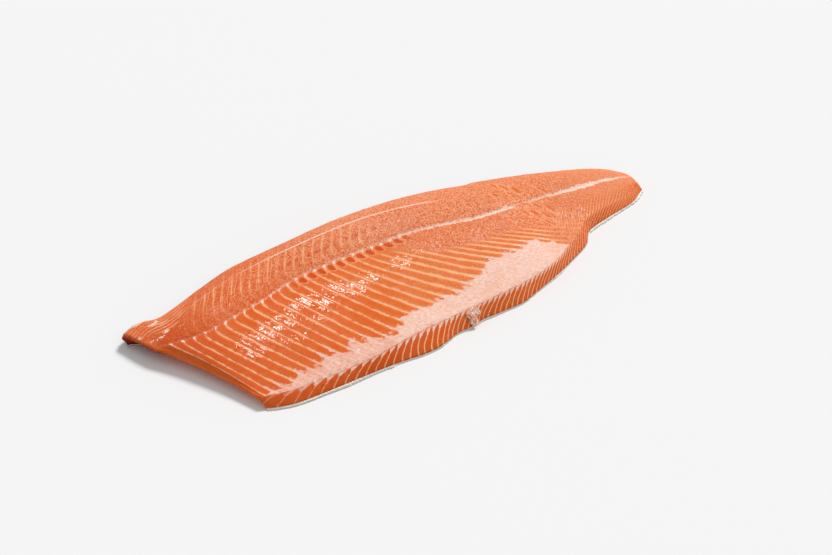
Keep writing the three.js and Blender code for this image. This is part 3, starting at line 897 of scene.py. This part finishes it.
def makeSkinMaterial():
    material, tree, shader = newMaterial("salmonSkin")
    colours = coloursOf(skin)
    place = addNode(tree, "ShaderNodeTexCoord").outputs["Object"]
    fromBackbone, inner, fringe = marksOf(tree, "skinMarks")
    scales = addNode(tree, "ShaderNodeTexVoronoi", {"Vector": stretched(tree, place, 0, 1.25),
                                                    "Scale": 1 / (skin["scaleSize"] * mm), "Randomness": 0.45},
                     feature="F1")
    cell = scales.outputs["Distance"]
    scaleGlints = noiseNode(tree, place, 2.2, 2, 0.6)
    broad = noiseNode(tree, place, 14, 3)
    towardsBack = mathNode(tree, "ADD", fromBackbone, remap(tree, broad, 0.2, 0.8, -16.0, 16.0))
    dark = remap(tree, towardsBack, -38.0, 14.0)
    ground = mixColour(tree, dark, colours["silver"], colours["slate"])
    ground = mixColour(tree, product(tree, remap(tree, cell, 0.35, 0.6), remap(tree, dark, 0.0, 1.0, 0.25, 0.8)),
                       ground, colours["scaleEdge"])
    # painted glints: pale flecks over the scales stand in for their highlights
    ground = mixColour(tree, product(tree, remap(tree, scaleGlints, 0.55, 0.7), 0.6), ground, colours["scaleGlint"])
    ground = mixColour(tree, inner, ground, colours["cut"])
    ground = mixColour(tree, fringe, ground, colours["fringe"])
    tree.links.new(ground, shader.inputs["Base Color"])
    bump = addNode(tree, "ShaderNodeBump", {"Height": remap(tree, cell, 0.6, 0.1), "Distance": 0.0003,
                                            "Strength": 1.0})
    tree.links.new(bump.outputs[0], shader.inputs["Normal"])
    shader.inputs["Roughness"].default_value = skin["roughness"]
    shader.inputs["Coat Weight"].default_value = 0.3
    shader.inputs["Coat Roughness"].default_value = 0.15
    return material


# the scrap of belly membrane that hangs over the cut face

scrap = {
    "top": (4, -80.5, 13.6),
    "tip": (-5, -91.6, 3.2),
    "outward": (0, -0.6, 0.8),
    "halfWidth": 5.6,
    "halfThickness": 1.3,
    "folds": 2.04,
    "paint": {
        "thin": (222, 138, 104),
        "thick": (248, 216, 194),
        "shade": (206, 104, 62),
    },
}


def makeScrapMesh():
    bm = bmesh.new()
    bmesh.ops.create_icosphere(bm, subdivisions=5, radius=1)
    top, tip = Vector(scrap["top"]), Vector(scrap["tip"])
    halfLength = (tip - top).length / 2
    down = (tip - top).normalized()
    side = down.cross(Vector(scrap["outward"])).normalized()
    out = side.cross(down)
    for vert in bm.verts:
        u, v, w = vert.co
        turn = math.atan2(v, u)
        lobes = 1 + 0.3 * math.cos(3 * turn + 0.6) + 0.12 * math.cos(7 * turn)
        fold = noise.noise(vert.co * scrap["folds"])
        swell = scrap["halfThickness"] * (1 + 0.5 * fold + 0.35 * math.sin(4 * v + 2 * u))
        sideways = side * u * scrap["halfWidth"] * lobes
        downwards = down * v * halfLength * (0.85 + 0.15 * lobes)
        vert.co = (top.lerp(tip, 0.5) + sideways + downwards + out * w * swell) * mm
    bmesh.ops.recalc_face_normals(bm, faces=bm.faces)
    return bm


def makeScrapMaterial():
    material, tree, shader = newMaterial("scrapMembrane")
    colours = coloursOf(scrap)
    place = addNode(tree, "ShaderNodeTexCoord").outputs["Object"]
    patches = noiseNode(tree, place, 3, 2, 0.6, 0.8)
    creases = noiseNode(tree, stretched(tree, place, 40, 2), 1.6, 3, 0.6)
    ground = mixColour(tree, remap(tree, patches, 0.4, 0.6), colours["thin"], colours["thick"])
    # painted shade: darker in the hollows of the creases
    ground = mixColour(tree, product(tree, remap(tree, creases, 0.5, 0.35), 0.5), ground, colours["shade"])
    tree.links.new(ground, shader.inputs["Base Color"])
    bump = addNode(tree, "ShaderNodeBump", {"Height": creases, "Distance": 0.0006, "Strength": 1.0})
    tree.links.new(bump.outputs[0], shader.inputs["Normal"])
    shader.inputs["Roughness"].default_value = 0.4
    shader.inputs["Coat Weight"].default_value = 0.4
    shader.inputs["Coat Roughness"].default_value = 0.12
    return material


# put together

# the frame's origin is under the middle of the fillet's footprint
def placeOnFrame(pieces):
    corners = np.array([corner for piece in pieces for corner in piece.bound_box])
    middle = (corners.min(axis=0) + corners.max(axis=0)) / 2
    for piece in pieces:
        for vert in piece.data.vertices:
            vert.co.x -= middle[0]
            vert.co.y -= middle[1]


makeCamera()
makeFloor()
makeLights()
print("camera, floor and light made")
fleshPiece = finishedPiece("salmonFlesh", *makeFleshMesh(), makeFleshMaterial())
print("flesh made", len(fleshPiece.data.polygons))
skinPiece = finishedPiece("salmonSkin", *makeSkinMesh(), makeSkinMaterial())
print("skin made", len(skinPiece.data.polygons))
scrapPiece = finishedPiece("membraneScrap", makeScrapMesh(), {}, makeScrapMaterial())
print("scrap made", len(scrapPiece.data.polygons))
placeOnFrame([fleshPiece, skinPiece, scrapPiece])
for piece in (fleshPiece, skinPiece, scrapPiece):
    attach(piece, "root")
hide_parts("flesh")
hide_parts("skin")
